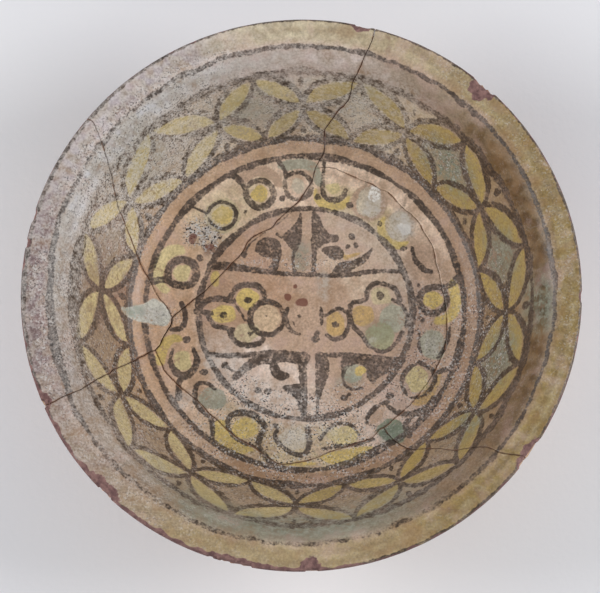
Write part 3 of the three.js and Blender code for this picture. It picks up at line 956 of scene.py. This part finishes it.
# The ground's broad tones, each laid over the one before: the colour, how strongly it shows, and the
# stretch of ring as the middle's angle, half of the length in degrees, and the inner and outer radius.
ALL_ROUND = (0, 400)
PAST_RIM = 134
GROUND_TONES = [
    ((170, 148, 122), 0.8, *ALL_ROUND, LEAVES_IN, LEAVES_OUT),
    ((134, 108, 76), 0.85, 0, 42, LEAVES_IN, LEAVES_OUT),
    ((228, 210, 186), 1.0, 88, 46, LEAVES_IN, LEAVES_OUT),
    ((172, 150, 116), 0.7, 42, 18, LEAVES_IN, LEAVES_OUT),
    ((146, 128, 108), 0.9, *ALL_ROUND, LEAVES_OUT, LIP_LINE),
    ((158, 142, 116), 1.0, *ALL_ROUND, LIP_LINE + 2.5, PAST_RIM),
    ((208, 204, 206), 0.9, 136, 40, LEAVES_OUT + 1, LIP_LINE),
    ((166, 154, 148), 0.8, 190, 26, LEAVES_OUT + 1, LIP_LINE),
    ((172, 154, 138), 0.8, 230, 24, LEAVES_OUT, LIP_LINE),
    ((176, 164, 166), 0.9, 140, 36, LIP_LINE + 1, PAST_RIM),
    ((126, 104, 104), 0.85, 185, 26, LIP_LINE + 1, PAST_RIM),
    ((158, 136, 122), 0.8, 225, 24, LIP_LINE, PAST_RIM),
    ((176, 166, 156), 0.7, 125, 48, LEAVES_IN + 4, LEAVES_OUT + 2),
    ((190, 176, 148), 0.95, 92, 18, LIP_LINE + 2, PAST_RIM),
    ((172, 154, 122), 0.8, 60, 16, LIP_LINE + 2, PAST_RIM),
    ((202, 186, 178), 0.8, 92, 24, LEAVES_OUT, LIP_LINE),
    ((90, 64, 28), 0.95, 2, 42, LEAVES_OUT, LIP_LINE),
    ((130, 108, 84), 0.7, -50, 25, LEAVES_OUT, LIP_LINE),
    ((138, 116, 70), 0.9, -15, 62, LIP_LINE + 1, PAST_RIM),
    ((154, 148, 130), 0.8, -92, 32, LEAVES_OUT, LIP_LINE),
    ((160, 140, 104), 0.9, -97, 30, LIP_LINE + 1, PAST_RIM),
    ((136, 128, 108), 0.6, -92, 30, LEAVES_OUT - 6, LEAVES_OUT + 2),
    ((162, 128, 98), 0.7, *ALL_ROUND, STRIP_IN, LEAVES_IN),
    ((200, 168, 138), 0.85, 140, 88, STRIP_IN, LEAVES_IN),
    ((210, 182, 158), 0.7, 225, 18, STRIP_IN, LEAVES_IN),
    ((172, 140, 108), 0.7, 172, 20, STRIP_IN, LEAVES_IN),
    ((136, 112, 90), 0.6, 178, 18, LEAVES_IN, LEAVES_OUT),
    ((142, 108, 80), 0.6, 0, 26, STRIP_IN, LEAVES_IN),
    ((236, 216, 202), 0.8, 238, 46, 24, MEDALLION),
    ((222, 200, 176), 0.6, 45, 38, 24, MEDALLION),
    ((240, 213, 188), 0.9, 88, 66, MEDALLION, STRIP_IN),
    ((236, 205, 179), 0.9, 200, 50, MEDALLION, STRIP_IN),
    ((230, 206, 190), 0.9, -80, 40, MEDALLION, STRIP_IN),
    ((158, 126, 98), 0.5, 172, 25, STRIP_IN - 6, LEAVES_IN + 8),
    ((182, 164, 114), 0.5, -100, 28, MEDALLION + 4, STRIP_IN),
    ((212, 194, 152), 0.45, 128, 24, MEDALLION, STRIP_IN - 2),
    ((196, 154, 116), 0.55, 178, 34, MEDALLION + 2, LEAVES_IN + 4),
    ((182, 142, 112), 0.5, 158, 44, 8, MEDALLION),
    ((184, 168, 116), 0.45, 60, 20, MEDALLION + 1, STRIP_IN - 12),
]


# The painted rings: radius, width and how far they stray.
RING_LINES = ((LIP_LINE, 1.9, 1.1), (LEAVES_OUT, 2.2, 0.8), (LEAVES_IN, 3.2, 0.5), (STRIP_IN, 2.9, 0.4))


def painted(x, y):
    """All of the paint at a sherd's inside points."""
    paint = Paint(x, y)
    for colour, strength, *stretch in GROUND_TONES:
        paint.tone(colour, strength, *stretch)
    # Streaks left by wiping the slip on along the wall.
    streaks = ripple(paint.r, np.radians(paint.angle) * 14, 2.6, 55)
    streaks *= step_between(LEAVES_OUT - 4, LEAVES_OUT + 3, paint.r)
    paint.ground *= 1 + 0.09 * streaks[:, None] * np.array([0.8, 1.0, 1.2])
    # The lines are broad where they start, at the left.
    paint.stroke([at_angle(angle, 116.4) for angle in (172, 180, 188, 196, 204)], (1.6, 2.6, 3.6, 3.6, 2.4))
    paint.stroke([at_angle(angle, 107.4) for angle in (160, 168, 176, 184, 192, 200)],
                 (2.0, 4.0, 4.6, 4.2, 3.4, 2.0))
    for radius, width, stray in RING_LINES:
        paint.circle((0, 0), radius, width, stray)
    leaf_ring(paint)
    for motif in SCROLLS:
        scroll(paint, *motif)
    # Painted highlights: white spots where the glaze catches the light on the two grey white discs.
    for centre, size in PAINTED_HIGHLIGHTS:
        paint.disc(centre, size, PAINTED_HIGHLIGHT)
    lower_scrolls(paint)
    medallion(paint)
    white_drip(paint)
    soft_washes(paint)
    # The dark edge of the lip is broad at the left and thin at the right.
    broad = 1.3 + 1.4 * step_between(75, 0, turned_from(paint.angle, 165))
    edge = RIM_RADIUS - broad - paint.r + 0.6 * paint.wander
    paint.dark = np.minimum(paint.dark, edge)
    return paint


# ---------------------------------------------------------------- materials


def linear(colour):
    """A colour as seen on screen, 0 to 255, as the shader wants it."""
    c = np.asarray(colour, float) / 255
    return np.where(c > 0.04045, ((c + 0.055) / 1.055) ** 2.4, c / 12.92)


def shade(colour):
    return (*linear(colour), 1.0)


class Value:
    """A number that comes out of a node, and can be added, multiplied and stepped."""

    def __init__(self, nodes, socket):
        self.nodes = nodes
        self.socket = socket

    def __add__(self, other):
        return self.nodes.math("ADD", self, other)

    def __mul__(self, other):
        return self.nodes.math("MULTIPLY", self, other)

    def __rsub__(self, other):
        return self.nodes.math("SUBTRACT", other, self)

    def step(self, low, high, most=1.0):
        """0 below low and most above high, or the other way round where low is above high."""
        node = self.nodes.tree.nodes.new("ShaderNodeMapRange")
        node.interpolation_type = "SMOOTHSTEP"
        for name, number in (("Value", self), ("From Min", low), ("From Max", high), ("To Max", most)):
            self.nodes.give(node.inputs[name], number)
        return Value(self.nodes, node.outputs[0])


class Nodes:
    """A short way to write down a material's nodes."""

    def __init__(self, name):
        self.material = bpy.data.materials.new(name)
        self.material.use_nodes = True
        self.tree = self.material.node_tree
        self.shader = self.tree.nodes["Principled BSDF"]
        self.place = self.tree.nodes.new("ShaderNodeTexCoord").outputs["Object"]

    def give(self, socket, value):
        """Sets a socket to a number or a colour, or links it to a Value or another node's socket."""
        if isinstance(value, Value):
            value = value.socket
        if isinstance(value, bpy.types.NodeSocket):
            self.tree.links.new(value, socket)
        else:
            socket.default_value = value

    def math(self, operation, *values):
        node = self.tree.nodes.new("ShaderNodeMath")
        node.operation = operation
        for socket, value in zip(node.inputs, values):
            self.give(socket, value)
        return Value(self, node.outputs[0])

    def noise(self, scale, detail):
        """Noise round 0, from about -0.5 to 0.5, with bumps of about 1/scale metres."""
        node = self.tree.nodes.new("ShaderNodeTexNoise")
        node.inputs["Scale"].default_value = scale
        node.inputs["Detail"].default_value = detail
        self.give(node.inputs["Vector"], self.place)
        return self.math("MULTIPLY_ADD", node.outputs[0], 2.0, -1.0)

    def mix(self, amount, first, second):
        """The first colour where amount is 0, and the second where it is 1."""
        node = self.tree.nodes.new("ShaderNodeMix")
        node.data_type = "RGBA"
        by_name = {socket.identifier: socket for socket in node.inputs}
        for name, value in (("Factor_Float", amount), ("A_Color", first), ("B_Color", second)):
            self.give(by_name[name], value)
        return next(socket for socket in node.outputs if socket.identifier == "Result_Color")

    def lit(self, colour, amount):
        """The colour made lighter or darker by an amount round 1."""
        node = self.tree.nodes.new("ShaderNodeVectorMath")
        node.operation = "SCALE"
        self.give(node.inputs[0], colour)
        self.give(node.inputs["Scale"], amount)
        return node.outputs[0]

    def attribute(self, name, kind):
        node = self.tree.nodes.new("ShaderNodeAttribute")
        node.attribute_name = name
        return node.outputs[kind]

    def fields(self, name):
        """The three numbers that the mesh carries under one name."""
        parts = self.tree.nodes.new("ShaderNodeSeparateXYZ")
        self.tree.links.new(self.attribute(name, "Vector"), parts.inputs[0])
        return [Value(self, socket) for socket in parts.outputs]

    def finish(self, colour, roughness, height, depth):
        """Joins the shader up. depth is the relief's size in metres for a height of 1."""
        bump = self.tree.nodes.new("ShaderNodeBump")
        bump.inputs["Distance"].default_value = depth
        self.give(bump.inputs["Height"], height)
        self.give(self.shader.inputs["Base Color"], colour)
        self.give(self.shader.inputs["Roughness"], roughness)
        self.tree.links.new(bump.outputs[0], self.shader.inputs["Normal"])
        return self.material


def painted_glaze():
    """Old slip paint under a thin glaze that has gone grainy, with clay showing in the chips."""
    n = Nodes("painted_glaze")
    dark, fill, wash = n.fields("marks")
    green, haze_and_sheen, red = n.fields("tints")
    crack, chip, flake = n.fields("damage")
    grain, brown, faded = n.fields("surface")
    broad, blotch, patchy = n.noise(28, 3), n.noise(110, 3), n.noise(330, 2)
    fine, speck, pale_speck = n.noise(900, 2), n.noise(1150, 2), n.noise(950, 2)
    ragged = fine * 0.32 + patchy * 0.6

    # The ground, pinker and browner in patches.
    unevenness = (broad * 0.13 + blotch * 0.20) + (patchy * 0.22 + fine * 0.46)
    colour = n.lit(n.attribute("ground", "Color"), unevenness + 1.0)
    colour = n.mix((blotch + broad).step(0.0, 0.55, 0.35), colour, shade((186, 156, 146)))
    colour = n.mix((blotch + broad).step(0.0, -0.55, 0.35), colour, shade((160, 122, 84)))

    # The thin dark wash.
    washed = (wash + ragged).step(0.6, -0.8) * (1.0 - faded * 0.7)
    wash_colour = n.mix(fine.step(-0.25, 0.3), shade((112, 96, 80)), shade((162, 142, 120)))
    colour = n.mix(washed * patchy.step(-0.5, 0.3, 0.6), colour, wash_colour)

    # Yellow leaves, discs and patches.
    filled = (fill + ragged).step(0.5, -0.5) * (blotch + fine).step(-0.9, -0.1, 0.95)
    fill_colour = n.lit(n.attribute("fill_colour", "Color"), unevenness * 1.2 + 1.0)
    colour = n.mix(filled, colour, fill_colour)

    # Brown stains and runs of green glaze.
    colour = n.mix(brown * (blotch + patchy).step(-0.4, 0.5, 0.8), colour, shade((112, 80, 60)))
    glaze_green = n.mix(patchy.step(-0.3, 0.3), shade((80, 102, 88)), shade((136, 143, 126)))
    colour = n.mix(green * (patchy + fine).step(-0.7, 0.4, 0.85), colour, glaze_green)

    # The dark lines, worn off in places.
    inked = (dark + ragged).step(0.3, -0.3) * (patchy * 0.8 + fine * 0.6).step(0.9, -0.1, 0.92)
    worn_off = ((patchy + blotch) + fine * 0.8).step(-0.8, 0.5)
    inked = inked * (1.0 - faded * worn_off)
    ink = n.mix((blotch + broad).step(-0.25, 0.3), shade((58, 44, 34)), shade((100, 84, 74)))
    ink = n.mix(brown * 0.8, ink, shade((66, 44, 30)))
    colour = n.mix(inked, colour, n.lit(ink, fine * 1.5 + 1.0))

    # The pale haze of the glaze with painted sheen, and the dark and pale grains.
    haze_and_sheen_mask = haze_and_sheen * (patchy + fine * 0.9).step(-0.5, 0.45, 0.85)
    colour = n.mix(haze_and_sheen_mask, colour, shade((204, 198, 192)))
    clean = filled * (1.0 - inked)
    grainy = (grain + 0.12) * (inked * 0.25 + (clean * -0.4 + 0.8))
    grainy = grainy * (patchy + blotch).step(-0.6, 0.35, 1.2)
    colour = n.mix(grainy * speck.step(0.06, 0.26, 0.95), colour, shade((40, 34, 36)))
    pale = grainy * (inked * -0.45 + 1.0)
    colour = n.mix(pale * pale_speck.step(0.08, 0.30, 0.9), colour, shade((206, 202, 198)))

    # Red stains, and dirt beside the cracks.
    colour = n.mix((red + ragged * 0.5).step(0.35, 0.7, 0.85), colour, shade((112, 62, 48)))
    dirt = crack.step(1.0, 0.1, 0.7) * (patchy + blotch).step(-0.5, 0.5)
    colour = n.mix(dirt, colour, shade((92, 68, 54)))

    # Bare clay in the chips, and where the glaze has flaked off.
    clay = n.mix(patchy.step(-0.3, 0.3), shade((100, 70, 68)), shade((132, 100, 94)))
    bare = (chip + fine * 0.12).step(0.02, 0.12)
    colour = n.mix(bare, colour, n.lit(clay, fine * 0.5 + 1.0))
    colour = n.mix(flake.step(0.35, 0.75, 0.7), colour, shade((150, 112, 90)))

    roughness = (patchy * 0.16 + haze_and_sheen_mask * 0.10) + (bare * 0.35 + 0.46) + grainy * 0.15
    height = (inked * 0.25 + fine * 0.35) + speck * (grain * 0.5 + 0.2)
    return n.finish(colour, roughness, height, 0.00012)


def outside_clay():
    """Bare buff clay, darker where hands have held it and lighter where slip has run."""
    n = Nodes("outside_clay")
    broad, blotch, patchy = n.noise(14, 3), n.noise(60, 3), n.noise(260, 3)
    fine, speck = n.noise(900, 2), n.noise(1400, 1)
    colour = n.mix((broad + blotch * 0.5).step(-0.3, 0.4), shade((168, 130, 106)), shade((196, 166, 138)))
    colour = n.lit(colour, patchy * 0.16 + fine * 0.2 + 1.0)
    colour = n.mix((blotch + patchy).step(0.25, 0.7, 0.5), colour, shade((206, 196, 184)))
    colour = n.mix(speck.step(0.25, 0.45, 0.6), colour, shade((92, 68, 58)))
    return n.finish(colour, patchy * 0.15 + 0.8, fine * 0.5 + patchy + speck * 0.4, 0.00015)


def broken_clay():
    n = Nodes("broken_clay")
    blotch, patchy, fine = n.noise(150, 3), n.noise(500, 3), n.noise(1500, 2)
    colour = n.mix((blotch + patchy).step(-0.4, 0.4), shade((112, 74, 62)), shade((150, 108, 88)))
    return n.finish(n.lit(colour, fine * 0.5 + 1.0), fine * 0.1 + 0.9, patchy + fine, 0.0004)


def pale_floor():
    n = Nodes("pale_floor")
    broad, fine = n.noise(3, 3), n.noise(300, 2)
    colour = n.mix(broad.step(-0.4, 0.4), shade((222, 222, 226)), shade((228, 228, 230)))
    return n.finish(colour, fine * 0.05 + 0.75, fine, 0.00005)


# ---------------------------------------------------------------- sherds


def give_points(mesh, name, values, kind):
    """Writes values onto the inside's points. The rest of the sherd has plain clay, which needs none."""
    whole = np.zeros((len(mesh.vertices), values.shape[1]))
    whole[: len(values)] = values
    attribute = mesh.attributes.new(name, kind, "POINT")
    value_name = "color" if kind == "FLOAT_COLOR" else "vector"
    attribute.data.foreach_set(value_name, whole.astype(np.float32).ravel())


def give_fields(mesh, name, fields):
    give_points(mesh, name, np.column_stack(fields), "FLOAT_VECTOR")


def give_colours(mesh, name, colours):
    whole = np.column_stack([linear(np.clip(colours, 0, 255)), np.ones(len(colours))])
    give_points(mesh, name, whole, "FLOAT_COLOR")


coverings = [painted_glaze(), outside_clay(), broken_clay()]
for sherd_name, parts in SHERDS.items():
    mesh, x, y, damage = sherd_mesh(sherd_name + "_surface", parts)
    paint = painted(x, y)
    soft = paint.soft
    give_fields(mesh, "marks", (paint.dark, paint.fill, paint.wash))
    give_fields(mesh, "tints", (soft["green"], soft["haze_and_sheen"], soft["red"]))
    give_fields(mesh, "damage", damage)
    give_fields(mesh, "surface", (soft["grain"], soft["brown"], soft["faded"]))
    give_colours(mesh, "ground", paint.ground)
    give_colours(mesh, "fill_colour", paint.fill_colour)
    for covering in coverings:
        mesh.materials.append(covering)
    sherd = bpy.data.objects.new(sherd_name + "_surface", mesh)
    bpy.context.scene.collection.objects.link(sherd)
    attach(sherd, "root")
    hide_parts(sherd_name)


# ---------------------------------------------------------------- floor, light and camera, in metres

FLOOR_SIDE = 3.0
floor_mesh = bpy.data.meshes.new("floor")
floor_corners = [(x * FLOOR_SIDE, y * FLOOR_SIDE, 0) for x, y in ((-1, -1), (1, -1), (1, 1), (-1, 1))]
floor_mesh.from_pydata(floor_corners, [], [(0, 1, 2, 3)])
floor_mesh.materials.append(pale_floor())
floor = bpy.data.objects.new("floor", floor_mesh)
bpy.context.scene.collection.objects.link(floor)

world = bpy.data.worlds.new("studio")
world.use_nodes = True
sky = world.node_tree.nodes["Background"]
sky.inputs["Color"].default_value = (0.93, 0.95, 1.0, 1.0)
sky.inputs["Strength"].default_value = 0.34
bpy.context.scene.world = world
bpy.context.scene.view_settings.view_transform = "Standard"

LAMP_AIM = Vector((0, 0, 0.03))
# Each lamp's place, size and power.
LAMPS = {
    "left_lamp": ((-1.2, 0.1, 0.75), 0.6, 11.8),
    "right_lamp": ((1.2, 0.1, 0.75), 0.6, 13.4),
    "front_lamp": ((0, -1.3, 0.9), 0.8, 3.6),
}
for lamp_name, (lamp_place, lamp_size, lamp_power) in LAMPS.items():
    lamp_data = bpy.data.lights.new(lamp_name, "AREA")
    lamp_data.size = lamp_size
    lamp_data.energy = lamp_power
    lamp = bpy.data.objects.new(lamp_name, lamp_data)
    lamp.location = lamp_place
    lamp.rotation_euler = (LAMP_AIM - Vector(lamp_place)).to_track_quat("-Z", "Y").to_euler()
    bpy.context.scene.collection.objects.link(lamp)


def rightward_and_upward(backward):
    """The picture's right and top for a camera that looks against backward."""
    rightward = Vector((0, 1, 0)).cross(backward).normalized()
    return rightward, backward.cross(rightward)


# The camera stands about a metre up and a little towards the viewer, and looks down into the bowl.
CAMERA_AWAY = 1.0
CAMERA_TILT = math.radians(10.5)  # from straight above, towards -Y
CAMERA_LEAN = math.radians(2.0)  # from straight above, towards +X
AIM_BELOW = 0.0036  # how far below the middle of the rim the camera points, as seen in the picture
rim_middle = Vector((0, 0, cad_box[1][2]))
level = math.cos(CAMERA_TILT)
backward = Vector((math.sin(CAMERA_LEAN) * level, -math.sin(CAMERA_TILT), level)).normalized()
rightward, upward = rightward_and_upward(backward)
camera_place = rim_middle + CAMERA_AWAY * backward
backward = (camera_place - (rim_middle - AIM_BELOW * upward)).normalized()
rightward, upward = rightward_and_upward(backward)
camera_data = bpy.data.cameras.new("camera")
camera_data.sensor_width = 36.0
camera_data.lens = 129.8
camera_data.clip_end = 20
camera = bpy.data.objects.new("camera", camera_data)
camera.matrix_world = Matrix((rightward, upward, backward)).transposed().to_4x4()
camera.location = camera_place
bpy.context.scene.collection.objects.link(camera)
bpy.context.scene.camera = camera
